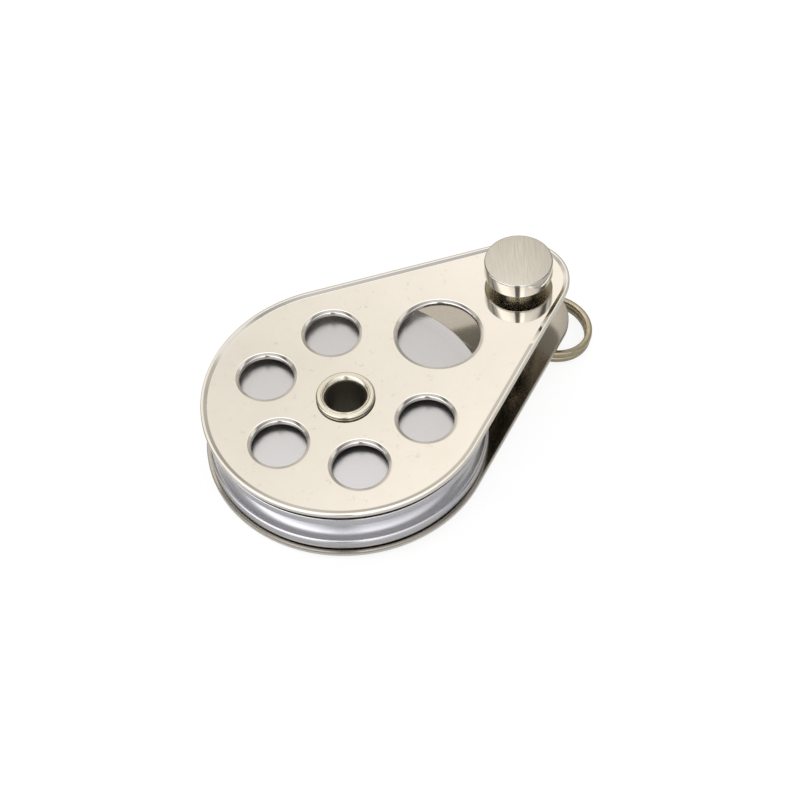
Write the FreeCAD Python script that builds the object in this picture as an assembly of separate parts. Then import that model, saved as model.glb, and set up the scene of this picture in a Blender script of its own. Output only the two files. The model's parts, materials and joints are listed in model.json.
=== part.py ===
# Single sheave block with a clevis head pin: two pressed stainless cheeks riveted together on a
# hollow axle, an aluminium sheave turning on it, and a loose pin kept by a split ring at the head.
# Units are millimetres. Origin: on the axle axis, midway between the cheeks.
# +X runs from the axle to the head pin, +Z towards the cheek under the pin's head.
import math
import os
import FreeCAD
import Part

# cheeks: a teardrop of pressed sheet, its rim stepped out in a low border that stiffens it
sheave_end_radius = 30.0
head_end_radius = 10.9
head_pin_offset = 47.9
sheet_thickness = 1.0
rim_width = 0.6             # the level border itself
rim_slope = 0.75            # width of the step up to it
rim_rise = 0.3

# holes in the cheeks, with lips pressed towards the sheave
hole_places = 6             # equal places round the axle; the window takes the one at the head
hole_circle_radius = 17.6
hole_radius = 5.7
window_radius = 8.75
window_offset = 25.4
lip_width = 0.8
lip_drop = 0.2

# sheave, with a half-round rope groove
sheave_radius = 29.35
sheave_width = 9.8
groove_radius = 3.1
land_chamfer = 0.3

# flanged plain bushes pressed into the sheave from both sides
bush_wall = 1.05
bush_flange_radius = 9.2
bush_flange_thickness = 0.4
bush_gap = 0.2              # between the inner ends of the two bushes

# hollow axle: a tube flared into a washer on each cheek, and a sleeve that keeps the cheeks apart
axle_bore_radius = 4.05
axle_wall = 0.7
axle_flare = 0.35
axle_crown = 0.15           # height of the tube's lip above its washer
axle_mouth_chamfer = 0.3
washer_radius = 6.15
washer_thickness = 1.0
washer_chamfer = 0.25
sleeve_wall = 1.75

# head pin
pin_radius = 4.0
pin_head_radius = 7.3
pin_head_height = 3.8
pin_head_chamfer = 0.35
pin_stand_off = 2.3         # gap under the head
cross_hole_radius = 1.8
cross_hole_drop = 2.6       # its axis, below the lower cheek's outer face
cross_hole_chamfer = 0.3
tail_length = 3.2           # beyond the axis of the cross hole
tail_chamfer = 0.8

# split ring: two turns of square wire with bevelled corners, through the cross hole
wire_size = 1.4
wire_bevel = 0.4
ring_radius = 8.1           # to the middle of the wire
ring_inset = 0.55           # how far the wire's middle bows past the pin's middle
ring_heading = -33.0        # degrees from +X, seen from above
ring_droop = 10.0           # degrees below the plane square to the pin
ring_step = 30.0            # degrees in which the wire steps over to the other turn
ring_step_place = 120.0     # degrees round the ring from its free end to the step
ring_end_gap = 4.0          # degrees between the step and each wire end

# clearances
side_play = 0.55            # between each bush flange and its cheek, with the sheave in the middle
rest_gap = 0.1              # left under the lower bush, as the block lies on its side
axle_slip = 0.05            # sleeve on the axle tube
bush_running = 0.05         # bushes on the sleeve
pin_clearance = 0.1         # head pin in the cheeks
turn_gap = 0.06             # between the turns of the split ring

inner_face = sheave_width / 2 + bush_flange_thickness + side_play
outer_face = inner_face + sheet_thickness
washer_face = outer_face + washer_thickness
sheave_sag = side_play - rest_gap
rim_foot = rim_width + rim_slope
axle_radius = axle_bore_radius + axle_wall
sleeve_inner_radius = axle_radius + axle_slip
sleeve_outer_radius = sleeve_inner_radius + sleeve_wall
bush_inner_radius = sleeve_outer_radius + bush_running
sheave_bore_radius = bush_inner_radius + bush_wall
cross_hole_z = -outer_face - cross_hole_drop
tangent_angle = math.degrees(math.acos((sheave_end_radius - head_end_radius) / head_pin_offset))

origin = FreeCAD.Vector(0, 0, 0)
x_axis = FreeCAD.Vector(1, 0, 0)
y_axis = FreeCAD.Vector(0, 1, 0)
z_axis = FreeCAD.Vector(0, 0, 1)


def spot(radius, degrees):
    """Point of the XY plane at a distance and heading from the origin."""
    turn = math.radians(degrees)
    return FreeCAD.Vector(radius * math.cos(turn), radius * math.sin(turn), 0)


def section(points):
    """Flat face in the XZ plane from (radius, height) corners."""
    corners = [FreeCAD.Vector(radius, 0, height) for radius, height in points]
    return Part.Face(Part.makePolygon(corners + corners[:1]))


def turned(points):
    return section(points).revolve(origin, z_axis, 360)


def tube(inner, outer, low, high):
    return turned([(inner, low), (outer, low), (outer, high), (inner, high)])


def moved(shape, x, y, z):
    return shape.translated(FreeCAD.Vector(x, y, z))


def flipped(shape):
    """The same piece for the other side of the block."""
    return shape.mirror(origin, z_axis)


def bent_edge(path):
    """Section of the sheet where it leaves its plane, along (radius, rise) points to its free edge."""
    under = [(radius, inner_face + rise) for radius, rise in path]
    upper = [(radius, outer_face + rise) for radius, rise in path]
    return section(under + upper[::-1])


def rim_section(end_radius):
    return bent_edge([(end_radius - rim_foot, 0), (end_radius - rim_width, rim_rise), (end_radius, rim_rise)])


def cheek_rim():
    """Stepped rim: an arc round the sheave end, another round the head, and the two tangents."""
    big = rim_section(sheave_end_radius)
    small = rim_section(head_end_radius)
    big.rotate(origin, z_axis, tangent_angle)
    small.rotate(origin, z_axis, -tangent_angle)
    side = big.extrude(tangent_side())
    return big.revolve(origin, z_axis, 360 - 2 * tangent_angle).multiFuse([
        moved(small.revolve(origin, z_axis, 2 * tangent_angle), head_pin_offset, 0, 0),
        side,
        side.mirror(origin, y_axis),
    ])


def tangent_side():
    """The cheek's straight side on +Y, from the sheave end to the head."""
    return x_axis * head_pin_offset - spot(sheave_end_radius - head_end_radius, tangent_angle)


def cheek_flat():
    """The flat sheet within the rim."""
    big = sheave_end_radius - rim_foot
    small = head_end_radius - rim_foot
    head = x_axis * head_pin_offset
    outline = Part.Wire([
        Part.Arc(spot(big, tangent_angle), spot(big, 180), spot(big, -tangent_angle)).toShape(),
        Part.makeLine(spot(big, -tangent_angle), head + spot(small, -tangent_angle)),
        Part.Arc(head + spot(small, -tangent_angle), head + spot(small, 0),
                 head + spot(small, tangent_angle)).toShape(),
        Part.makeLine(head + spot(small, tangent_angle), spot(big, tangent_angle)),
    ])
    return moved(Part.Face(outline), 0, 0, inner_face).extrude(z_axis * sheet_thickness)


def pressed_hole(sheet, place, radius):
    """Cut a hole and turn its lip in towards the sheave."""
    foot = radius + lip_width
    lip = bent_edge([(foot, 0), (radius, -lip_drop)]).revolve(origin, z_axis, 360)
    opening = Part.makeCylinder(foot, sheet_thickness, place + z_axis * inner_face)
    return sheet.cut(opening).fuse(lip.translated(place))


def plain_hole(sheet, place, radius):
    return sheet.cut(Part.makeCylinder(radius, sheet_thickness, place + z_axis * inner_face))


def cheek():
    sheet = cheek_flat().fuse(cheek_rim())
    for place in range(1, hole_places):
        sheet = pressed_hole(sheet, spot(hole_circle_radius, 360 * place / hole_places), hole_radius)
    sheet = pressed_hole(sheet, x_axis * window_offset, window_radius)
    sheet = plain_hole(sheet, origin, axle_radius)
    sheet = plain_hole(sheet, x_axis * head_pin_offset, pin_radius + pin_clearance)
    return sheet.removeSplitter()


def axle_tube():
    """Hollow axle with both ends flared into the washers."""
    crown = washer_face + axle_crown
    flare = axle_radius + axle_flare
    upper = turned([
        (axle_bore_radius, 0),
        (axle_radius, 0),
        (axle_radius, washer_face - axle_flare),
        (flare, washer_face),
        (flare - axle_crown, crown),
        (axle_bore_radius + axle_mouth_chamfer, crown),
        (axle_bore_radius, crown - axle_mouth_chamfer),
    ])
    return upper.fuse(flipped(upper)).removeSplitter()


def rivet_washer():
    return turned([
        (axle_radius, outer_face),
        (washer_radius, outer_face),
        (washer_radius, washer_face - washer_chamfer),
        (washer_radius - washer_chamfer, washer_face),
        (axle_radius + axle_flare, washer_face),
        (axle_radius, washer_face - axle_flare),
    ])


def distance_sleeve():
    return tube(sleeve_inner_radius, sleeve_outer_radius, -inner_face, inner_face)


def sheave():
    """Disc with chamfered lands and a half-round groove between them."""
    side = sheave_width / 2
    edge = side - land_chamfer
    base = sheave_radius - land_chamfer
    disc = turned([
        (sheave_bore_radius, -side),
        (base, -side),
        (sheave_radius, -edge),
        (sheave_radius, -groove_radius - land_chamfer),
        (base, -groove_radius),
        (base, groove_radius),
        (sheave_radius, groove_radius + land_chamfer),
        (sheave_radius, edge),
        (base, side),
        (sheave_bore_radius, side),
    ])
    grooved = disc.cut(Part.makeTorus(base, groove_radius))
    return moved(grooved, 0, 0, -sheave_sag)


def bush():
    """Upper bush, pressed in from its side of the sheave."""
    side = sheave_width / 2
    flange_face = side + bush_flange_thickness
    return turned([
        (bush_inner_radius, bush_gap / 2),
        (sheave_bore_radius, bush_gap / 2),
        (sheave_bore_radius, side),
        (bush_flange_radius, side),
        (bush_flange_radius, flange_face),
        (bush_inner_radius, flange_face),
    ])


def cross_hole():
    """Cutter for the hole through the pin's tail, opened out at both mouths."""
    reach = pin_radius + cross_hole_chamfer
    neck = pin_radius - cross_hole_chamfer
    mouth = cross_hole_radius + 2 * cross_hole_chamfer
    cutter = turned([
        (0, -reach),
        (mouth, -reach),
        (cross_hole_radius, -neck),
        (cross_hole_radius, neck),
        (mouth, reach),
        (0, reach),
    ])
    cutter.rotate(origin, x_axis, 90)
    cutter.rotate(origin, z_axis, ring_heading)
    return moved(cutter, 0, 0, cross_hole_z)


def head_pin():
    under_head = outer_face + pin_stand_off
    top = under_head + pin_head_height
    tail = cross_hole_z - tail_length
    pin = turned([
        (0, tail),
        (pin_radius - tail_chamfer, tail),
        (pin_radius, tail + tail_chamfer),
        (pin_radius, under_head),
        (pin_head_radius - pin_head_chamfer, under_head),
        (pin_head_radius, under_head + pin_head_chamfer),
        (pin_head_radius, top - pin_head_chamfer),
        (pin_head_radius - pin_head_chamfer, top),
        (0, top),
    ])
    return moved(pin.cut(cross_hole()), head_pin_offset, 0, 0)


def wire_section(start, direction):
    """Square with bevelled corners, upright across the wire."""
    half = wire_size / 2
    flat = half - wire_bevel
    corners = [(half, flat), (flat, half), (-flat, half), (-half, flat)]
    corners += [(-x, -y) for x, y in corners]
    across = direction.cross(z_axis).normalize()
    upright = across.cross(direction)
    points = [start + across * x + upright * y for x, y in corners]
    return Part.Face(Part.makePolygon(points + points[:1]))


def bent_wire(start, direction, end):
    """Stretch of the ring's wire in one arc that leaves its start in a given direction."""
    chord = end - start
    axis = direction.cross(chord).normalize()
    inward = axis.cross(direction)
    centre = start + inward * (chord.Length ** 2 / (2 * chord.dot(inward)))
    sweep = 2 * math.degrees(direction.getAngle(chord))
    return wire_section(start, direction).revolve(centre, axis, sweep)


def split_ring():
    """Two flat turns joined by a step. The step is two arcs that meet at its middle, where the
    wire stands out by hypot(ring_radius, level), which leaves no kink."""
    level = (wire_size + turn_gap) / 2
    half_step = ring_step / 2
    end = half_step + 360 - ring_step - ring_end_gap
    middle = x_axis * math.hypot(ring_radius, level)
    low = spot(ring_radius, -half_step) - z_axis * level
    high = spot(ring_radius, half_step) + z_axis * level
    low_along = spot(1, 90 - half_step)
    high_along = spot(1, 90 + half_step)
    ring = bent_wire(low, low_along * -1, spot(ring_radius, -end) - z_axis * level).multiFuse([
        bent_wire(low, low_along, middle),
        bent_wire(high, high_along * -1, middle),
        bent_wire(high, high_along, spot(ring_radius, end) + z_axis * level),
    ])
    ring.rotate(origin, z_axis, ring_step_place)
    ring = moved(ring, ring_radius - ring_inset, 0, 0)
    ring.rotate(origin, y_axis, ring_droop)
    ring.rotate(origin, z_axis, ring_heading)
    return moved(ring, head_pin_offset, 0, cross_hole_z)


upper_cheek = cheek()
upper_washer = rivet_washer()
upper_bush = bush()
nodes = {
    "cheek_upper": upper_cheek,
    "cheek_lower": flipped(upper_cheek),
    "axle_tube": axle_tube(),
    "rivet_washer_upper": upper_washer,
    "rivet_washer_lower": flipped(upper_washer),
    "distance_sleeve": distance_sleeve(),
    "sheave": sheave(),
    "bush_upper": moved(upper_bush, 0, 0, -sheave_sag),
    "bush_lower": moved(flipped(upper_bush), 0, 0, -sheave_sag),
    "head_pin": head_pin(),
    "split_ring": split_ring(),
}

os.makedirs("parts", exist_ok=True)
for name, shape in nodes.items():
    shape.exportStep("parts/" + name + ".step")
    print(name, "solids", len(shape.Solids), "valid", shape.isValid(), "volume", round(shape.Volume, 1))
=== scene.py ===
import bpy, bmesh, json, math
from mathutils import Matrix, Vector


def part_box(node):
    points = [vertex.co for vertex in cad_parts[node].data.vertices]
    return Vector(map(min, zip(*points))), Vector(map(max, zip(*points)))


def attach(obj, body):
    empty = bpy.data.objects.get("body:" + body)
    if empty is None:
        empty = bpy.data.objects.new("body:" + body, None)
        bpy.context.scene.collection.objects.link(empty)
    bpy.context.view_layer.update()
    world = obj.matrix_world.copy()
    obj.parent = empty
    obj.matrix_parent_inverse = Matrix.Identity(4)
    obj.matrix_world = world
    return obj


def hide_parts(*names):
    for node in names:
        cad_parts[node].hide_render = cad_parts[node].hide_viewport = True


# Flat single sheave block lying on a white table, with its head pin and split ring.
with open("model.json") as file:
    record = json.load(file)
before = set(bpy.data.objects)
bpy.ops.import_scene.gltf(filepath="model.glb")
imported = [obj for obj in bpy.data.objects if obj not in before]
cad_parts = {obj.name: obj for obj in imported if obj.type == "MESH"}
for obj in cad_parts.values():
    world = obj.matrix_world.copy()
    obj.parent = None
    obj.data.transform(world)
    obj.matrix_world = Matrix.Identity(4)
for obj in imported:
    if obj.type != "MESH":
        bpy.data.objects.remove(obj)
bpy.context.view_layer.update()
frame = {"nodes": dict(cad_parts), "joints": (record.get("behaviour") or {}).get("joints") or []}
mm = 0.001
zAxis = Vector((0, 0, 1))
turnAxis = (0, -1, 0)  # turns +X towards +Z, so outlines in the XZ plane read as on paper
mergeWithin = 0.0005 * mm
levelWithin = 0.001 * mm
sharpFrom = 35  # degrees between two faces from which their edge shades sharp
joints = {joint["name"]: joint for joint in frame["joints"]}
washerLow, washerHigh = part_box("rivet_washer_upper")
pinLow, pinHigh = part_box("head_pin")
print("frame loaded")

# heights are above the middle plane between the cheeks
block = {
    "pinPlace": joints["ring_swing"]["pos_m"][0],
    "innerFace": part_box("distance_sleeve")[1].z,
    "outerFace": washerLow.z,
    "washerFace": washerHigh.z,
    "washer": washerHigh.x,
    "headTop": pinHigh.z,
    "headHeight": 3.8 * mm,
    "bore": 4.05 * mm,
}

view = {
    "azimuth": -37.39,
    "elevation": 51.79,
    "roll": -3.67,
    "distance": 479.97 * mm,
    "aimRight": 11.19 * mm,
    "aimUp": -0.54 * mm,
    "lens": 104.886,
    "sensor": 36,
    "nearest": 10 * mm,
}


def placeCamera():
    azimuth, elevation = math.radians(view["azimuth"]), math.radians(view["elevation"])
    back = Vector((math.sin(azimuth) * math.cos(elevation), -math.cos(azimuth) * math.cos(elevation),
                   math.sin(elevation)))
    level = Vector((math.cos(azimuth), math.sin(azimuth), 0))
    right = Matrix.Rotation(math.radians(view["roll"]), 3, back) @ level
    up = back.cross(right)
    camera = bpy.data.objects.new("camera", bpy.data.cameras.new("camera"))
    bpy.context.scene.collection.objects.link(camera)
    camera.data.lens = view["lens"]
    camera.data.sensor_width = view["sensor"]
    camera.data.clip_start = view["nearest"]
    aim = Vector((0, 0, block["outerFace"])) + right * view["aimRight"] + up * view["aimUp"]
    rotation = Matrix((right, up, back)).transposed()
    camera.matrix_world = Matrix.LocRotScale(aim + back * view["distance"], rotation, None)
    bpy.context.scene.camera = camera
    return back


towardsCamera = placeCamera()


def hexColour(code):  # sRGB hex to linear
    channels = [int(code[i:i + 2], 16) / 255 for i in (0, 2, 4)]
    return [c / 12.92 if c <= 0.04045 else ((c + 0.055) / 1.055) ** 2.4 for c in channels] + [1.0]


def setInputs(node, inputs):  # from values, hex colours, sockets or nodes; a node gives its first output
    for name, value in inputs.items():
        if isinstance(value, bpy.types.Node):
            value = next(output for output in value.outputs if output.enabled)
        if isinstance(value, bpy.types.NodeSocket):
            node.id_data.links.new(value, node.inputs[name])
        else:
            node.inputs[name].default_value = hexColour(value) if isinstance(value, str) else value


def addNode(tree, kind, inputs=None, **settings):
    node = tree.nodes.new("ShaderNode" + kind)
    for name, value in settings.items():
        setattr(node, name, value)
    setInputs(node, inputs or {})
    return node


def lengthInPlan(tree, vector):  # its length as seen from above, so a place's distance from the axle
    flat = addNode(tree, "VectorMath", {0: vector, 1: (1, 1, 0)}, operation="MULTIPLY")
    return addNode(tree, "VectorMath", {0: flat}, operation="LENGTH")


def fromMiddle(tree, place):  # distance above or below the middle plane
    height = addNode(tree, "SeparateXYZ", {"Vector": place}).outputs["Z"]
    return addNode(tree, "Math", {0: height}, operation="ABSOLUTE")


def whiteRays(tree):  # 1 for the rays that see plain white, and the socket for the glossy ones
    rays = addNode(tree, "LightPath").outputs
    seen = addNode(tree, "Math", {0: rays["Is Camera Ray"], 1: rays["Is Transmission Ray"]},
                   operation="MAXIMUM")
    return seen, rays["Is Glossy Ray"]


def startMaterial(name, **shaderValues):
    material = bpy.data.materials.new(name)
    material.use_nodes = True
    tree = material.node_tree
    shader = tree.nodes["Principled BSDF"]
    setInputs(shader, shaderValues)
    return material, tree, shader, addNode(tree, "TexCoord").outputs["Object"]


def startOutline(bm, x, z):
    return bm.verts.new((x, 0, z))


def lineTo(bm, vert, x, z):
    new = bmesh.ops.extrude_vert_indiv(bm, verts=[vert])["verts"][0]
    new.co = (x, 0, z)
    return new


def arcTo(bm, vert, x, z, degrees, steps):  # round a centre, anticlockwise if positive
    swept = bmesh.ops.spin(bm, geom=[vert], cent=(x, 0, z), axis=turnAxis, dvec=(0, 0, 0),
                           angle=math.radians(degrees), steps=steps)
    return [item for item in swept["geom_last"] if isinstance(item, bmesh.types.BMVert)][0]


def closeOutline(bm):
    ends = [vert for vert in bm.verts if len(vert.link_edges) == 1]
    bm.edges.new(ends)


def wires(bm):
    return bm.verts[:] + bm.edges[:]


def turnRound(bm, geom, centre, axis, degrees, steps):
    swept = bmesh.ops.spin(bm, geom=geom, cent=centre, axis=axis, dvec=(0, 0, 0),
                           angle=math.radians(degrees), steps=steps, use_merge=degrees == 360)
    return swept["geom_last"]


def turnOnLathe(bm, steps):
    turnRound(bm, wires(bm), (0, 0, 0), zAxis, 360, steps)


def pullAlong(bm, geom, way, steps):
    for _ in range(steps):
        edges = [item for item in geom if isinstance(item, bmesh.types.BMEdge)]
        geom = bmesh.ops.extrude_edge_only(bm, edges=edges)["geom"]
        geom = [item for item in geom if not isinstance(item, bmesh.types.BMFace)]
        verts = [item for item in geom if isinstance(item, bmesh.types.BMVert)]
        bmesh.ops.translate(bm, verts=verts, vec=way / steps)
    return geom


def moveBy(bm, x, y):
    bmesh.ops.translate(bm, verts=bm.verts[:], vec=(x, y, 0))


def turnAll(bm, angle, axis):
    bmesh.ops.rotate(bm, verts=bm.verts[:], cent=(0, 0, 0), matrix=Matrix.Rotation(angle, 3, axis))


def takeIn(bm, part):
    mesh = bpy.data.meshes.new("part")
    part.to_mesh(mesh)
    bm.from_mesh(mesh)
    bpy.data.meshes.remove(mesh)
    part.free()


def finishMesh(bm):
    bmesh.ops.remove_doubles(bm, verts=bm.verts[:], dist=mergeWithin)
    bmesh.ops.recalc_face_normals(bm, faces=bm.faces[:])
    for face in bm.faces:
        face.smooth = True
    for edge in bm.edges:
        edge.smooth = edge.calc_face_angle(0) < math.radians(sharpFrom)


def flipOver(bm):
    bmesh.ops.scale(bm, verts=bm.verts[:], vec=(1, 1, -1))
    bmesh.ops.recalc_face_normals(bm, faces=bm.faces[:])
    return bm


def addObject(name, bm):
    mesh = bpy.data.meshes.new(name)
    bm.to_mesh(mesh)
    bm.free()
    thing = bpy.data.objects.new(name, mesh)
    bpy.context.scene.collection.objects.link(thing)
    return thing


def finishPiece(name, bm, material, body, node):
    piece = addObject(name, bm)
    piece.data.materials.append(material)
    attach(piece, body)
    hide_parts(node)
    print(name, len(piece.data.polygons), "faces")
    return piece


# finishes: pattern sizes are real ones, colours are sRGB hex
noiseSwing = {"From Min": 0.3, "From Max": 0.7}  # nearly all of a noise lies between these
steelFinish = {
    "light": "EDE8DF",
    "dark": "E4DFD5",
    "patch": 9 * mm,
    "smudge": 2.2 * mm,
    "smudgeSwing": (0.6, 0.75),
    "smudged": 0.4,
    "scuff": 0.9 * mm,
    "scuffSwing": (0.35, 0.75),
    "buffedRough": 0.04,
    "scuffedRough": 0.1,
    "wave": 7 * mm,
    "waveDepth": 0.03 * mm,
    "waveStrength": 0.25,
    # inner tones: the duller mill face, also darkened as painted shade between the cheeks
    "inner": "BAB4AA",
    "innerDark": "AAA499",
    "millGrain": 0.5 * mm,
    "innerRough": 0.14,
    "dullUpTo": 0.4 * mm,  # into the sheet from its inner face
    "buffedFrom": 0.6 * mm,
}


def makePolishedStainless():
    # pressed stainless sheet: outside buffed to a warm mirror, inside left dull from the mill and
    # darkened further as painted shade between the cheeks
    finish = steelFinish
    material, tree, shader, place = startMaterial("polishedStainless", Metallic=1.0)
    patches = addNode(tree, "TexNoise", {"Vector": place, "Scale": 1 / finish["patch"], "Detail": 3.0,
                                         "Roughness": 0.6})
    scuffs = addNode(tree, "TexNoise", {"Vector": place, "Scale": 1 / finish["scuff"], "Detail": 6.0,
                                        "Roughness": 0.7})
    smudges = addNode(tree, "TexNoise", {"Vector": place, "Scale": 1 / finish["smudge"], "Detail": 5.0,
                                         "Roughness": 0.75})
    mill = addNode(tree, "TexNoise", {"Vector": place, "Scale": 1 / finish["millGrain"], "Detail": 4.0})
    waves = addNode(tree, "TexNoise", {"Vector": place, "Scale": 1 / finish["wave"], "Detail": 1.0})
    outside = addNode(tree, "MapRange", {"Value": fromMiddle(tree, place),
                                         "From Min": block["innerFace"] + finish["dullUpTo"],
                                         "From Max": block["innerFace"] + finish["buffedFrom"]})
    stain = addNode(tree, "MapRange", {"Value": smudges, "From Min": finish["smudgeSwing"][0],
                                       "From Max": finish["smudgeSwing"][1],
                                       "To Max": finish["smudged"]})
    buffed = addNode(tree, "MixRGB", {0: patches, 1: finish["light"], 2: finish["dark"]})
    buffed = addNode(tree, "MixRGB", {0: stain, 1: buffed, 2: finish["innerDark"]})
    # inner face tone: mill finish, darkened as painted shade between the cheeks
    millToneAndShade = addNode(tree, "MixRGB", {0: mill, 1: finish["inner"], 2: finish["innerDark"]})
    smooth = addNode(tree, "MapRange", {"Value": scuffs, "From Min": finish["scuffSwing"][0],
                                        "From Max": finish["scuffSwing"][1],
                                        "To Min": finish["buffedRough"],
                                        "To Max": finish["scuffedRough"]})
    setInputs(shader, {
        "Base Color": addNode(tree, "MixRGB", {0: outside, 1: millToneAndShade, 2: buffed}),
        "Roughness": addNode(tree, "Mix", {"Factor": outside, "A": finish["innerRough"], "B": smooth},
                             data_type="FLOAT"),
        "Normal": addNode(tree, "Bump", {"Strength": finish["waveStrength"],
                                         "Distance": finish["waveDepth"], "Height": waves}),
    })
    return material


aluminiumFinish = {
    "light": "D4D3D4",
    "dark": "C4C3C6",
    "ring": 0.35 * mm,
    "grain": 0.22 * mm,
    "depth": 0.01 * mm,
    "strength": 0.2,
    "ringShare": 0.15,
    "face": 27 * mm,  # radius up to which the flat sides go, rougher than the rim
    "faceBlend": 1 * mm,
    "faceRough": 0.33,
    "rimRough": 0.27,
    "roughSwing": 0.03,
}


def makeSatinAluminium():
    # turned and clear anodised aluminium: cool grey, soft sheen, fine rings left by the lathe
    finish = aluminiumFinish
    material, tree, shader, place = startMaterial("anodisedAluminium", Metallic=1.0)
    radius = lengthInPlan(tree, place)
    height = addNode(tree, "SeparateXYZ", {"Vector": place}).outputs["Z"]
    onLathe = addNode(tree, "CombineXYZ", {"X": radius, "Y": height})
    rings = addNode(tree, "TexNoise", {"Vector": onLathe, "Scale": 1 / finish["ring"], "Detail": 2.0})
    grain = addNode(tree, "TexNoise", {"Vector": place, "Scale": 1 / finish["grain"], "Detail": 4.0,
                                       "Roughness": 0.7})
    rim = addNode(tree, "MapRange", {"Value": radius, "From Min": finish["face"],
                                     "From Max": finish["face"] + finish["faceBlend"],
                                     "To Min": finish["faceRough"], "To Max": finish["rimRough"]})
    swing = addNode(tree, "MapRange", {"Value": rings, **noiseSwing, "To Min": -finish["roughSwing"],
                                       "To Max": finish["roughSwing"]})
    relief = addNode(tree, "Math", {0: rings, 1: finish["ringShare"], 2: grain},
                     operation="MULTIPLY_ADD")
    setInputs(shader, {
        "Base Color": addNode(tree, "MixRGB", {0: grain, 1: finish["light"], 2: finish["dark"]}),
        "Roughness": addNode(tree, "Math", {0: swing, 1: rim}, operation="ADD"),
        "Normal": addNode(tree, "Bump", {"Strength": finish["strength"], "Distance": finish["depth"],
                                         "Height": relief}),
    })
    return material


axleFinish = {
    "light": "E8E2D2",
    "dark": "D6CFBD",
    "patch": 1.5 * mm,
    "lipRough": (0.15, 0.3),
    "sleeveRough": (0.3, 0.45),
    # darker bore tone: drilled, dull finish and painted shade inside the bore
    "bore": "8C867A",
    "boreRough": 0.45,
    "boreUpTo": 0.05 * mm,  # outwards from the bore's wall
    "turnedFrom": 0.25 * mm,
    "washerFootShade": "2E2A22",  # painted shade along the washer's foot, where its edge meets the sheet
    "footShadeOutside": 0.2 * mm,  # inwards from the washer's edge
    "footShadeFull": 0.05 * mm,
    "footShadeBelow": 0.45 * mm,  # down from the washer's face
    "footShadeGone": 0.25 * mm,
}


def makeTurnedStainless(name, rough):
    # stainless turned on a lathe and tumbled: warm, slightly satin; the bore is left drilled and dull,
    # its darker tone also painted shade inside the bore; painted shade darkens the washer's foot
    finish = axleFinish
    material, tree, shader, place = startMaterial(name, Metallic=1.0)
    patches = addNode(tree, "TexNoise", {"Vector": place, "Scale": 1 / finish["patch"], "Detail": 4.0})
    radius = lengthInPlan(tree, place)
    turned = addNode(tree, "MapRange", {"Value": radius, "From Min": block["bore"] + finish["boreUpTo"],
                                        "From Max": block["bore"] + finish["turnedFrom"]})
    # painted shade: darkens the washer's side low down by its rim, where it meets the sheet
    edge = addNode(tree, "MapRange", {"Value": radius,
                                      "From Min": block["washer"] - finish["footShadeOutside"],
                                      "From Max": block["washer"] - finish["footShadeFull"]})
    under = addNode(tree, "MapRange", {"Value": fromMiddle(tree, place),
                                       "From Min": block["washerFace"] - finish["footShadeBelow"],
                                       "From Max": block["washerFace"] - finish["footShadeGone"],
                                       "To Min": 1.0, "To Max": 0.0})
    washerFootShade = addNode(tree, "Math", {0: edge, 1: under}, operation="MULTIPLY")
    tone = addNode(tree, "MixRGB", {0: patches, 1: finish["light"], 2: finish["dark"]})
    tone = addNode(tree, "MixRGB", {0: washerFootShade, 1: tone, 2: finish["washerFootShade"]})
    smooth = addNode(tree, "MapRange", {"Value": patches, **noiseSwing, "To Min": rough[0],
                                        "To Max": rough[1]})
    setInputs(shader, {
        # the bore's darker tone is partly painted shade
        "Base Color": addNode(tree, "MixRGB", {0: turned, 1: finish["bore"], 2: tone}),
        "Roughness": addNode(tree, "Mix", {"Factor": turned, "A": finish["boreRough"], "B": smooth},
                             data_type="FLOAT"),
    })
    return material


pinFinish = {
    "light": "DEDAD0",
    "dark": "BAB5A9",
    "across": 0.12 * mm,
    "along": 6 * mm,
    "heading": 52,
    "beltRough": (0.2, 0.34),
    "depth": 0.01 * mm,
    "strength": 0.2,
    "facedUpTo": 0.06 * mm,  # down from the head's top
    "facedFull": 0.02 * mm,
    "side": "C8C4BA",
    "sideRough": 0.07,
    # darker tone under the head is painted shade
    "under": "B0AA9D",
    "underRough": 0.25,
    "underUpTo": 0.04 * mm,  # either way from the head's under face
    "polishedFrom": 0.1 * mm,
}


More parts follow.
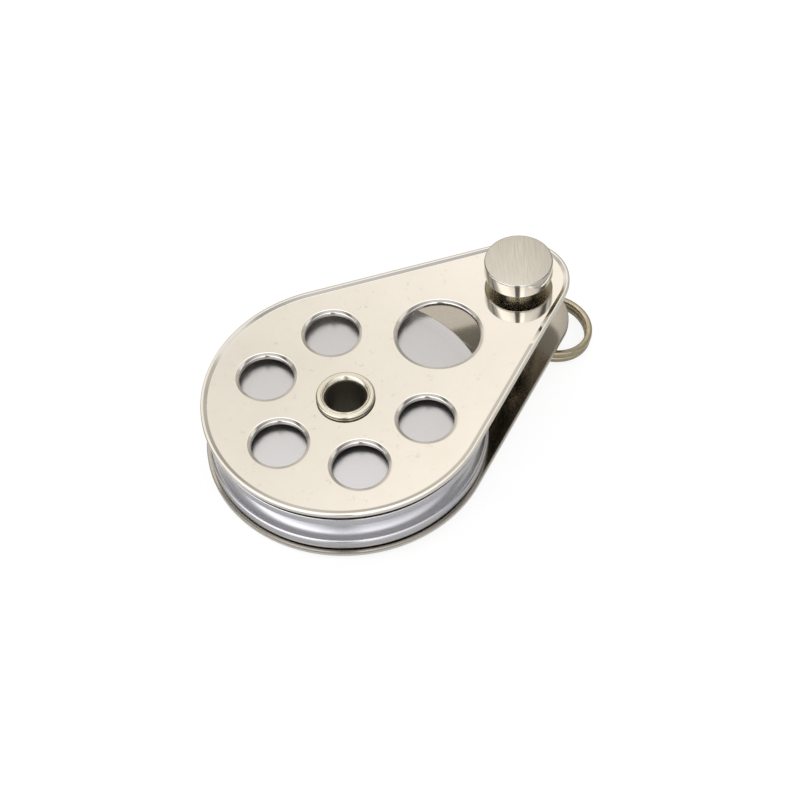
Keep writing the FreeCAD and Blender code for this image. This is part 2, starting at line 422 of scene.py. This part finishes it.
def makeBrushedStainless():
    # bar stock: head faced with an abrasive belt, fine straight grain; the turned sides polished, the
    # head's under face darker as painted shade
    finish = pinFinish
    material, tree, shader, place = startMaterial("brushedStainless", Metallic=1.0)
    stroke = (finish["along"], finish["across"], finish["along"])
    turned = addNode(tree, "Mapping", {"Vector": place, "Scale": stroke,
                                       "Rotation": (0, 0, math.radians(finish["heading"]))},
                     vector_type="TEXTURE")
    grain = addNode(tree, "TexNoise", {"Vector": turned, "Scale": 1.0, "Detail": 3.0})
    height = addNode(tree, "SeparateXYZ", {"Vector": place}).outputs["Z"]
    faced = addNode(tree, "MapRange", {"Value": height,
                                       "From Min": block["headTop"] - finish["facedUpTo"],
                                       "From Max": block["headTop"] - finish["facedFull"]})
    fromUnder = addNode(tree, "Math", {0: height, 1: block["headTop"] - block["headHeight"]},
                        operation="SUBTRACT")
    fromUnder = addNode(tree, "Math", {0: fromUnder}, operation="ABSOLUTE")
    polished = addNode(tree, "MapRange", {"Value": fromUnder, "From Min": finish["underUpTo"],
                                          "From Max": finish["polishedFrom"]})
    tone = addNode(tree, "MixRGB", {0: grain, 1: finish["light"], 2: finish["dark"]})
    # under the head: painted shade
    side = addNode(tree, "MixRGB", {0: polished, 1: finish["under"], 2: finish["side"]})
    belt = addNode(tree, "MapRange", {"Value": grain, **noiseSwing, "To Min": finish["beltRough"][0],
                                      "To Max": finish["beltRough"][1]})
    turning = addNode(tree, "MapRange", {"Value": polished, "To Min": finish["underRough"],
                                         "To Max": finish["sideRough"]})
    relief = addNode(tree, "Math", {0: grain, 1: faced}, operation="MULTIPLY")
    setInputs(shader, {
        "Base Color": addNode(tree, "MixRGB", {0: faced, 1: side, 2: tone}),
        "Roughness": addNode(tree, "Mix", {"Factor": faced, "A": turning, "B": belt}, data_type="FLOAT"),
        "Normal": addNode(tree, "Bump", {"Strength": finish["strength"], "Distance": finish["depth"],
                                         "Height": relief}),
    })
    return material


wireFinish = {"light": "C9BFA6", "dark": "A3977C", "patch": 1.2 * mm, "rough": (0.16, 0.3)}


def makeDrawnWire():
    # stainless spring wire, drawn and rolled square: warm olive grey with a bright skin
    finish = wireFinish
    material, tree, shader, place = startMaterial("drawnWire", Metallic=1.0)
    patches = addNode(tree, "TexNoise", {"Vector": place, "Scale": 1 / finish["patch"], "Detail": 4.0})
    setInputs(shader, {
        "Base Color": addNode(tree, "MixRGB", {0: patches, 1: finish["light"], 2: finish["dark"]}),
        "Roughness": addNode(tree, "MapRange", {"Value": patches, **noiseSwing,
                                                "To Min": finish["rough"][0],
                                                "To Max": finish["rough"][1]}),
    })
    return material


acetalFinish = {"light": "1C1C1E", "dark": "28282A", "grain": 0.3 * mm, "rough": 0.5}


def makeAcetal():
    # moulded black acetal, the sheave's bushes: dull, faintly grainy
    finish = acetalFinish
    material, tree, shader, place = startMaterial("acetal", Roughness=finish["rough"])
    grain = addNode(tree, "TexNoise", {"Vector": place, "Scale": 1 / finish["grain"], "Detail": 2.0})
    tone = addNode(tree, "MixRGB", {0: grain, 1: finish["light"], 2: finish["dark"]})
    setInputs(shader, {"Base Color": tone})
    return material


polishedStainless = makePolishedStainless()
anodisedAluminium = makeSatinAluminium()
turnedStainless = makeTurnedStainless("turnedStainless", axleFinish["lipRough"])
sleeveStainless = makeTurnedStainless("sleeveStainless", axleFinish["sleeveRough"])
brushedStainless = makeBrushedStainless()
drawnWire = makeDrawnWire()
acetal = makeAcetal()
print("finishes made")

cheek = {
    "sheaveEnd": -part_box("cheek_upper")[0].x,
    "headEnd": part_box("cheek_upper")[1].x - block["pinPlace"],
    "rimSlope": 0.75 * mm,
    "rimWidth": 0.6 * mm,
    "rimRise": 0.3 * mm,
    "rimRound": 0.15 * mm,
    "rimBend": 0.3 * mm,
    "rimCrown": 1.5 * mm,
    "crownTurn": 14,
    "innerRun": 4.0 * mm,
    "lipRun": 0.8 * mm,
    "lipDrop": 0.2 * mm,
    "lipTurn": 21,
    "lipBend": 0.8 * mm,
    "lipRound": 0.29 * mm,
    "holeRadius": 5.7 * mm,
    "holeCircle": 17.6 * mm,
    "holeHeadings": (60, 120, 180, 240, 300),
    "windowRadius": 8.75 * mm,
    "windowPlace": 25.4 * mm,
    "axleHole": 4.75 * mm,
    "pinHole": 4.1 * mm,
    "holeRound": 0.12 * mm,
    "flatStrip": 0.2 * mm,  # of the flat sheet, kept round each rim and hole
    "bendSteps": 4,
    "edgeSteps": 6,
    "lipSteps": 8,
    "holeSteps": 96,
    "plainHoleSteps": 72,
    "sheaveEndSteps": 150,
    "headEndSteps": 90,
    "sideSteps": 14,
}
sheetTop = block["outerFace"]
sheetUnder = block["innerFace"]


def rimStrip(under):  # under: height of the sheet's inner edge above its inner face
    part = bmesh.new()
    slope, rise, soft, bend = cheek["rimSlope"], cheek["rimRise"], cheek["rimRound"], cheek["rimBend"]
    few, more = cheek["bendSteps"], cheek["edgeSteps"]
    foot = cheek["sheaveEnd"] - cheek["rimWidth"] - slope
    level, edge = foot + slope, cheek["sheaveEnd"]
    turn = math.atan2(rise, slope)
    back = bend * math.tan(turn / 2)
    degrees = math.degrees(turn)
    stepIn, stepUp = back * math.cos(turn), back * math.sin(turn)
    crown, crowned = cheek["rimCrown"] - soft, math.radians(cheek["crownTurn"])
    crest = edge - soft - crown * math.sin(crowned)
    corner = sheetTop + rise - cheek["rimCrown"] + crown * math.cos(crowned)
    vert = startOutline(part, foot - back - cheek["flatStrip"], sheetTop)
    vert = lineTo(part, vert, foot - back, sheetTop)
    vert = arcTo(part, vert, foot - back, sheetTop + bend, degrees, few)
    vert = lineTo(part, vert, level - stepIn, sheetTop + rise - stepUp)
    vert = arcTo(part, vert, level + back, sheetTop + rise - bend, -degrees, few)
    vert = lineTo(part, vert, crest, sheetTop + rise)
    vert = arcTo(part, vert, crest, sheetTop + rise - cheek["rimCrown"], -cheek["crownTurn"], more)
    vert = arcTo(part, vert, edge - soft, corner, cheek["crownTurn"] - 90, more)
    vert = lineTo(part, vert, edge, sheetUnder + under + soft)
    vert = arcTo(part, vert, edge - soft, sheetUnder + under + soft, -90, more)
    vert = lineTo(part, vert, edge - cheek["innerRun"], sheetUnder)
    lineTo(part, vert, edge - cheek["innerRun"] - cheek["flatStrip"], sheetUnder)
    # round the sheave end, along one straight side, round the head end and back
    shrink = cheek["sheaveEnd"] - cheek["headEnd"]
    tangent = math.degrees(math.acos(shrink / block["pinPlace"]))
    turnAll(part, math.radians(tangent), "Z")
    head = Vector((block["pinPlace"], 0, 0))
    facing = Vector((math.cos(math.radians(tangent)), -math.sin(math.radians(tangent)), 0))
    geom = turnRound(part, wires(part), (0, 0, 0), zAxis, 360 - 2 * tangent, cheek["sheaveEndSteps"])
    geom = pullAlong(part, geom, head - facing * shrink, cheek["sideSteps"])
    geom = turnRound(part, geom, head, zAxis, 2 * tangent, cheek["headEndSteps"])
    facing.y = -facing.y
    pullAlong(part, geom, facing * shrink - head, cheek["sideSteps"])
    return part


def lipRing(x, y, radius):
    part = bmesh.new()
    turn, soft, small = math.radians(cheek["lipTurn"]), cheek["lipRound"], cheek["holeRound"]
    foot, bend = radius + cheek["lipRun"], cheek["lipBend"]
    back = bend * math.tan(turn / 2)
    fall = (cheek["lipRun"] - soft) * math.tan(turn) + soft / math.cos(turn)
    low = sheetUnder - cheek["lipDrop"]
    vert = startOutline(part, foot + back + cheek["flatStrip"], sheetTop)
    vert = lineTo(part, vert, foot + back, sheetTop)
    vert = arcTo(part, vert, foot + back, sheetTop - bend, cheek["lipTurn"], cheek["edgeSteps"])
    vert = lineTo(part, vert, radius + soft - soft * math.sin(turn),
                  sheetTop - fall + soft * math.cos(turn))
    vert = arcTo(part, vert, radius + soft, sheetTop - fall, 90 - cheek["lipTurn"], cheek["lipSteps"])
    vert = lineTo(part, vert, radius, low + small)
    vert = arcTo(part, vert, radius + small, low + small, 90, cheek["bendSteps"])
    vert = lineTo(part, vert, foot, sheetUnder)
    lineTo(part, vert, foot + back + cheek["flatStrip"], sheetUnder)
    turnOnLathe(part, cheek["holeSteps"])
    moveBy(part, x, y)
    return part


def plainRing(x, radius):
    part = bmesh.new()
    soft = cheek["holeRound"]
    outside = radius + soft + cheek["flatStrip"]
    vert = startOutline(part, outside, sheetTop)
    vert = lineTo(part, vert, radius + soft, sheetTop)
    vert = arcTo(part, vert, radius + soft, sheetTop - soft, 90, cheek["bendSteps"])
    vert = lineTo(part, vert, radius, sheetUnder + soft)
    vert = arcTo(part, vert, radius + soft, sheetUnder + soft, 90, cheek["bendSteps"])
    lineTo(part, vert, outside, sheetUnder)
    turnOnLathe(part, cheek["plainHoleSteps"])
    moveBy(part, x, 0)
    return part


def fillFlat(bm, height):
    edges = [edge for edge in bm.edges if edge.is_boundary
             and all(abs(vert.co.z - height) < levelWithin for vert in edge.verts)]
    bmesh.ops.triangle_fill(bm, use_beauty=True, use_dissolve=False, edges=edges, normal=zAxis)


def makeCheek(under):
    bm = bmesh.new()
    takeIn(bm, rimStrip(under))
    for heading in cheek["holeHeadings"]:
        angle = math.radians(heading)
        takeIn(bm, lipRing(cheek["holeCircle"] * math.cos(angle), cheek["holeCircle"] * math.sin(angle),
                           cheek["holeRadius"]))
    takeIn(bm, lipRing(cheek["windowPlace"], 0, cheek["windowRadius"]))
    takeIn(bm, plainRing(0, cheek["axleHole"]))
    takeIn(bm, plainRing(block["pinPlace"], cheek["pinHole"]))
    bmesh.ops.remove_doubles(bm, verts=bm.verts[:], dist=mergeWithin)
    fillFlat(bm, sheetTop)
    fillFlat(bm, sheetUnder)
    finishMesh(bm)
    return bm


finishPiece("upperCheek", makeCheek(cheek["rimRise"]), polishedStainless, "block", "cheek_upper")
# the lower cheek's inner face stays level out to its edge
finishPiece("lowerCheek", flipOver(makeCheek(0)), polishedStainless, "block", "cheek_lower")

axle = {
    "outer": 4.75 * mm,
    "lip": 5.1 * mm,
    "crown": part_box("axle_tube")[1].z,
    "mouthBend": 2.0 * mm,
    "mouthTurn": 50,
    "lipRound": 0.13 * mm,
    "washerRound": 0.46 * mm,
    "gap": 0.03 * mm,
    "mouthSteps": 12,
    "lipSteps": 6,
    "washerSteps": 8,
    "roundSteps": 96,
}


def makeAxleTube():
    bm = bmesh.new()
    bend, small, turn = axle["mouthBend"], axle["lipRound"], math.radians(axle["mouthTurn"])
    start = axle["crown"] - small * (1 - math.cos(turn)) - bend * math.sin(turn)
    vert = startOutline(bm, block["bore"], 0)
    vert = lineTo(bm, vert, block["bore"], start)
    vert = arcTo(bm, vert, block["bore"] + bend, start, -axle["mouthTurn"], axle["mouthSteps"])
    vert = lineTo(bm, vert, axle["lip"] - small, axle["crown"])
    vert = arcTo(bm, vert, axle["lip"] - small, axle["crown"] - small, -90, axle["lipSteps"])
    vert = lineTo(bm, vert, axle["lip"], block["washerFace"])
    vert = lineTo(bm, vert, axle["outer"], block["washerFace"] - (axle["lip"] - axle["outer"]))
    lineTo(bm, vert, axle["outer"], 0)
    turnOnLathe(bm, axle["roundSteps"])
    bmesh.ops.mirror(bm, geom=wires(bm) + bm.faces[:], matrix=Matrix.Identity(4),
                     merge_dist=mergeWithin, axis="Z")
    finishMesh(bm)
    return bm


def makeWasher():
    bm = bmesh.new()
    soft, steps = axle["washerRound"], axle["washerSteps"]
    flare = axle["lip"] - axle["outer"]
    inner = axle["outer"] + axle["gap"]
    vert = startOutline(bm, inner, block["outerFace"])
    vert = lineTo(bm, vert, block["washer"] - soft, block["outerFace"])
    vert = arcTo(bm, vert, block["washer"] - soft, block["outerFace"] + soft, 90, steps)
    vert = lineTo(bm, vert, block["washer"], block["washerFace"] - soft)
    vert = arcTo(bm, vert, block["washer"] - soft, block["washerFace"] - soft, 90, steps)
    vert = lineTo(bm, vert, inner + flare, block["washerFace"])
    lineTo(bm, vert, inner, block["washerFace"] - flare)
    closeOutline(bm)
    turnOnLathe(bm, axle["roundSteps"])
    finishMesh(bm)
    return bm


finishPiece("axleTube", makeAxleTube(), turnedStainless, "block", "axle_tube")
finishPiece("upperWasher", makeWasher(), turnedStainless, "block", "rivet_washer_upper")
finishPiece("lowerWasher", flipOver(makeWasher()), turnedStainless, "block", "rivet_washer_lower")

sheaveLow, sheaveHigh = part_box("sheave")
sheave = {
    "radius": sheaveHigh.x,
    "middle": (sheaveLow.z + sheaveHigh.z) / 2,
    "half": (sheaveHigh.z - sheaveLow.z) / 2,
    "bore": 7.65 * mm,
    "groove": 2.7 * mm,
    "landRound": 0.7 * mm,  # between the groove and the rim
    "edgeRound": 0.3 * mm,
    "edgeSteps": 6,
    "grooveSteps": 32,
    "roundSteps": 240,
}


def makeSheave():
    bm = bmesh.new()
    soft, small, middle = sheave["landRound"], sheave["edgeRound"], sheave["middle"]
    rim, radius, steps = sheave["radius"] - soft, sheave["radius"], sheave["edgeSteps"]
    top, under = middle + sheave["half"], middle - sheave["half"]
    mouth = sheave["groove"] + soft
    vert = startOutline(bm, sheave["bore"], top)
    vert = lineTo(bm, vert, radius - small, top)
    vert = arcTo(bm, vert, radius - small, top - small, -90, steps)
    vert = lineTo(bm, vert, radius, middle + mouth)
    vert = arcTo(bm, vert, rim, middle + mouth, -90, steps)
    vert = arcTo(bm, vert, rim, middle, 180, sheave["grooveSteps"])
    vert = arcTo(bm, vert, rim, middle - mouth, -90, steps)
    vert = lineTo(bm, vert, radius, under + small)
    vert = arcTo(bm, vert, radius - small, under + small, -90, steps)
    lineTo(bm, vert, sheave["bore"], under)
    closeOutline(bm)
    turnOnLathe(bm, sheave["roundSteps"])
    finishMesh(bm)
    return bm


finishPiece("sheaveWheel", makeSheave(), anodisedAluminium, "sheave", "sheave")

pin = {
    "radius": 4.0 * mm,
    "head": (pinHigh.x - pinLow.x) / 2,
    "headRound": 0.35 * mm,
    "tailChamfer": 0.8 * mm,
    "hole": 1.8 * mm,
    "holeMouth": 0.3 * mm,
    "holeHeight": joints["ring_swing"]["pos_m"][2],
    "edgeSteps": 6,
    "roundSteps": 128,
    "holeSteps": 48,
}
ringAxis = Vector(joints["ring_swing"]["axis"])
ringHeading = math.atan2(ringAxis.y, ringAxis.x) - math.pi / 2
crossHole = (Matrix.Translation((block["pinPlace"], 0, pin["holeHeight"]))
             @ Matrix.Rotation(ringHeading, 4, "Z"))


def makeHeadPin():
    bm = bmesh.new()
    soft, steps = pin["headRound"], pin["edgeSteps"]
    under = pinHigh.z - block["headHeight"]
    vert = startOutline(bm, 0, pinLow.z)
    vert = lineTo(bm, vert, pin["radius"] - pin["tailChamfer"], pinLow.z)
    vert = lineTo(bm, vert, pin["radius"], pinLow.z + pin["tailChamfer"])
    vert = lineTo(bm, vert, pin["radius"], under)
    vert = lineTo(bm, vert, pin["head"] - soft, under)
    vert = arcTo(bm, vert, pin["head"] - soft, under + soft, 90, steps)
    vert = lineTo(bm, vert, pin["head"], pinHigh.z - soft)
    vert = arcTo(bm, vert, pin["head"] - soft, pinHigh.z - soft, 90, steps)
    lineTo(bm, vert, 0, pinHigh.z)
    turnOnLathe(bm, pin["roundSteps"])
    moveBy(bm, block["pinPlace"], 0)
    finishMesh(bm)
    return bm


def makeCrossHole():
    bm = bmesh.new()
    slope = pin["holeMouth"]
    reach, neck = pin["radius"] + slope, pin["radius"] - slope
    vert = startOutline(bm, 0, -reach)
    vert = lineTo(bm, vert, pin["hole"] + 2 * slope, -reach)
    vert = lineTo(bm, vert, pin["hole"], -neck)
    vert = lineTo(bm, vert, pin["hole"], neck)
    vert = lineTo(bm, vert, pin["hole"] + 2 * slope, reach)
    lineTo(bm, vert, 0, reach)
    turnOnLathe(bm, pin["holeSteps"])
    finishMesh(bm)
    bmesh.ops.transform(bm, verts=bm.verts[:], matrix=crossHole @ Matrix.Rotation(math.pi / 2, 4, "X"))
    return bm


def cutAway(piece, bm):
    cutter = addObject("cutter", bm)
    cut = piece.modifiers.new("crossHole", "BOOLEAN")
    cut.operation = "DIFFERENCE"
    cut.object = cutter
    result = piece.evaluated_get(bpy.context.evaluated_depsgraph_get())
    shape = bpy.data.meshes.new_from_object(result)
    piece.modifiers.remove(cut)
    piece.data = shape
    bpy.data.objects.remove(cutter)


headPin = finishPiece("headPin", makeHeadPin(), brushedStainless, "head_pin", "head_pin")
cutAway(headPin, makeCrossHole())

splitRing = {
    "wire": 1.4 * mm,
    "corner": 0.4 * mm,
    "radius": 8.1 * mm,
    "inset": 0.55 * mm,
    "droop": 10,
    "step": 30,
    "stepPlace": 120,
    "endGap": 4,
    "turnGap": 0.06 * mm,
    "cornerSteps": 5,
    "turnSteps": 180,
    "stepSteps": 8,
}


def onRing(degrees, height):
    angle, radius = math.radians(degrees), splitRing["radius"]
    return Vector((radius * math.cos(angle), radius * math.sin(angle), height))


def bendTo(bm, geom, start, direction, end, steps):  # one arc that leaves start along direction
    chord = end - start
    axis = direction.cross(chord).normalized()
    inward = axis.cross(direction)
    centre = start + inward * (chord.length_squared / (2 * chord.dot(inward)))
    sweep = 2 * direction.angle(chord)
    geom = turnRound(bm, geom, centre, axis, math.degrees(sweep), steps)
    return geom, Matrix.Rotation(sweep, 3, axis) @ direction


def makeSplitRing():
    bm = bmesh.new()
    level = (splitRing["wire"] + splitRing["turnGap"]) / 2
    halfStep = splitRing["step"] / 2
    end = halfStep + 360 - splitRing["step"] - splitRing["endGap"]
    # the wire's rounded square, stood up at the start of the lower turn
    bmesh.ops.create_circle(bm, cap_ends=True, segments=4, radius=splitRing["wire"] / math.sqrt(2))
    turnAll(bm, math.pi / 4, "Z")
    bmesh.ops.bevel(bm, geom=bm.verts[:], offset=splitRing["corner"], offset_type="OFFSET",
                    segments=splitRing["cornerSteps"], profile=0.5, affect="VERTICES", material=-1)
    bmesh.ops.delete(bm, geom=bm.faces[:], context="FACES_ONLY")
    turnAll(bm, math.pi / 2, "X")
    turnAll(bm, math.radians(-end), "Z")
    start = onRing(-end, -level)
    bmesh.ops.translate(bm, verts=bm.verts[:], vec=start)
    # the lower turn, the step up between the turns, and the upper turn
    along = zAxis.cross(start).normalized()
    low, high = onRing(-halfStep, -level), onRing(halfStep, level)
    middle = Vector((math.hypot(splitRing["radius"], level), 0, 0))
    geom, along = bendTo(bm, wires(bm), start, along, low, splitRing["turnSteps"])
    geom, along = bendTo(bm, geom, low, along, middle, splitRing["stepSteps"])
    geom, along = bendTo(bm, geom, middle, along, high, splitRing["stepSteps"])
    bendTo(bm, geom, high, along, onRing(end, level), splitRing["turnSteps"])
    bmesh.ops.holes_fill(bm, edges=[edge for edge in bm.edges if edge.is_boundary], sides=0)
    place = (crossHole
             @ Matrix.Rotation(math.radians(splitRing["droop"]), 4, "Y")
             @ Matrix.Translation((splitRing["radius"] - splitRing["inset"], 0, 0))
             @ Matrix.Rotation(math.radians(splitRing["stepPlace"]), 4, "Z"))
    bmesh.ops.transform(bm, verts=bm.verts[:], matrix=place)
    finishMesh(bm)
    return bm


finishPiece("splitRing", makeSplitRing(), drawnWire, "split_ring", "split_ring")
print("pieces made")

# hidden solids that keep the frame's own shape
keptNodes = {"distance_sleeve": sleeveStainless, "bush_upper": acetal, "bush_lower": acetal}
for name, material in keptNodes.items():
    mesh = frame["nodes"][name].data
    mesh.materials.clear()
    mesh.materials.append(material)

table = {
    "size": 1200 * mm,
    "clear": 0.1 * mm,
    "matt": "E4E4E4",
    "white": "FFFFFF",
    "pale": "808080",
    "glow": 0.85,
    "mirrored": 0.12,
}


def makeWhiteTable():
    # plain table: matt where it lights the block, white with the block's shadow where it is seen
    material = bpy.data.materials.new("whiteTable")
    material.use_nodes = True
    tree = material.node_tree
    tree.nodes.clear()
    seen, glossy = whiteRays(tree)
    white = addNode(tree, "Math", {0: glossy, 1: table["mirrored"], 2: seen}, operation="MULTIPLY_ADD")
    matt = addNode(tree, "BsdfDiffuse", {"Color": table["matt"]})
    pale = addNode(tree, "BsdfDiffuse", {"Color": table["pale"]})
    glow = addNode(tree, "Emission", {"Color": table["white"], "Strength": table["glow"]})
    both = addNode(tree, "AddShader", {0: pale, 1: glow})
    mixed = addNode(tree, "MixShader", {0: white, 1: matt, 2: both})
    addNode(tree, "OutputMaterial", {"Surface": mixed})
    return material


def makeTable():
    # the block rests on its cheek's rounded end and on the head pin or its ring, whichever is lower
    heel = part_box("cheek_lower")[0]
    resting = [vert.co for name in ("headPin", "splitRing")
               for vert in bpy.data.objects[name].data.vertices]
    slope = max((heel.z - place.z) / (place.x - heel.x) for place in resting)
    normal = Vector((slope, 0, 1)).normalized()
    bm = bmesh.new()
    bmesh.ops.create_grid(bm, x_segments=1, y_segments=1, size=table["size"])
    floor = addObject("table", bm)
    middle = Vector((heel.x, 0, heel.z)) - normal * table["clear"]
    tilt = zAxis.rotation_difference(normal).to_matrix().to_4x4()
    floor.matrix_world = Matrix.Translation(middle) @ tilt
    floor.data.materials.append(makeWhiteTable())


room = {
    "plain": 0.9,
    "brightest": 2.5,
    "steepReach": 0.1,  # a direction's length in plan, up to which only its height counts
    "flatReach": 0.45,  # and from which its heading counts in full
}
overhead = (  # degrees from the far horizon over the top to the near one, brightness, colour
    (-20, 0.65, "FFF8EC"),
    (0, 0.65, "FFF8EC"),
    (12, 0.62, "FFFBF5"),
    (32, 0.7, "FFFBF5"),
    (42, 1.05, "FFFBF5"),
    (47, 1.16, "FFFBF5"),
    (51, 1.05, "FFFBF5"),
    (56, 1.26, "FFFBF5"),
    (62, 1.3, "FFFBF5"),
    (67, 2.1, "FFFFFF"),
    (76, 2.1, "FFFFFF"),
    (81, 0.75, "FAFAFF"),
    (95, 0.75, "FAFAFF"),
    (101, 1.5, "FAFAFF"),
    (108, 2.2, "FAFAFF"),
    (124, 2.1, "FAFAFF"),
    (140, 1.6, "FAFAFF"),
    (158, 1.2, "FAFAFF"),
    (180, 1.0, "FAFAFF"),
)
around = (  # degrees to the right of straight ahead, share of that brightness
    (-180, 0.6),
    (-178, 0.12),
    (-165, 0.12),
    (-162, 0.9),
    (-140, 1.1),
    (-88, 1.0),
    (-78, 0.25),
    (-50, 0.3),
    (-32, 0.95),
    (-20, 1.05),
    (-6, 0.88),
    (5, 1.07),
    (9, 1.02),
    (16, 0.7),
    (36, 0.5),
    (70, 0.4),
    (85, 0.22),
    (100, 0.25),
    (118, 0.55),
    (145, 0.75),
    (162, 0.85),
    (168, 1.25),
    (178, 1.25),
    (180, 0.6),
)


def angleRamp(tree, height, ahead, stops):  # colours by the angle of a direction, -180 to 180 degrees
    angle = addNode(tree, "Math", {0: height, 1: ahead}, operation="ARCTAN2")
    share = addNode(tree, "MapRange", {"Value": angle, "From Min": -math.pi, "From Max": math.pi})
    ramp = addNode(tree, "ValToRGB", {0: share})
    elements = ramp.color_ramp.elements
    elements.remove(elements[1])
    elements[0].position = (stops[0][0] + 180) / 360
    elements[0].color = stops[0][1]
    for degrees, colour in stops[1:]:
        elements.new((degrees + 180) / 360).color = colour
    return ramp


def makeRoom(tree):  # what polished metal mirrors, so only glossy rays see it
    way = addNode(tree, "TexCoord").outputs["Generated"]
    far = Vector((-towardsCamera.x, -towardsCamera.y, 0)).normalized()
    ahead = addNode(tree, "VectorMath", {0: way, 1: far}, operation="DOT_PRODUCT")
    right = addNode(tree, "VectorMath", {0: way, 1: far.cross(zAxis)}, operation="DOT_PRODUCT")
    height = addNode(tree, "SeparateXYZ", {"Vector": way}).outputs["Z"]
    over = [(degrees, [bright / room["brightest"] * channel for channel in hexColour(tone)[:3]] + [1.0])
            for degrees, bright, tone in overhead]
    beside = [(degrees, [share] * 3 + [1.0]) for degrees, share in around]
    reach = addNode(tree, "MapRange", {"Value": lengthInPlan(tree, way), "From Min": room["steepReach"],
                                       "From Max": room["flatReach"]})
    share = addNode(tree, "MixRGB", {0: reach, 1: "FFFFFF", 2: angleRamp(tree, right, ahead, beside)})
    colour = addNode(tree, "MixRGB", {0: 1.0, 1: angleRamp(tree, height, ahead, over), 2: share},
                     blend_type="MULTIPLY")
    return addNode(tree, "Background", {"Color": colour, "Strength": room["brightest"]})


def makeWorld():
    world = bpy.data.worlds.new("studio")
    bpy.context.scene.world = world
    world.use_nodes = True
    tree = world.node_tree
    tree.nodes.clear()
    seen, glossy = whiteRays(tree)
    plain = addNode(tree, "Background", {"Color": "FFFFFF", "Strength": room["plain"]})
    white = addNode(tree, "Background", {"Color": "FFFFFF", "Strength": 1.0})
    lit = addNode(tree, "MixShader", {0: glossy, 1: plain, 2: makeRoom(tree)})
    final = addNode(tree, "MixShader", {0: seen, 1: lit, 2: white})
    addNode(tree, "OutputWorld", {"Surface": final})


makeTable()
makeWorld()
bpy.context.scene.view_settings.view_transform = "Standard"
print("light set")
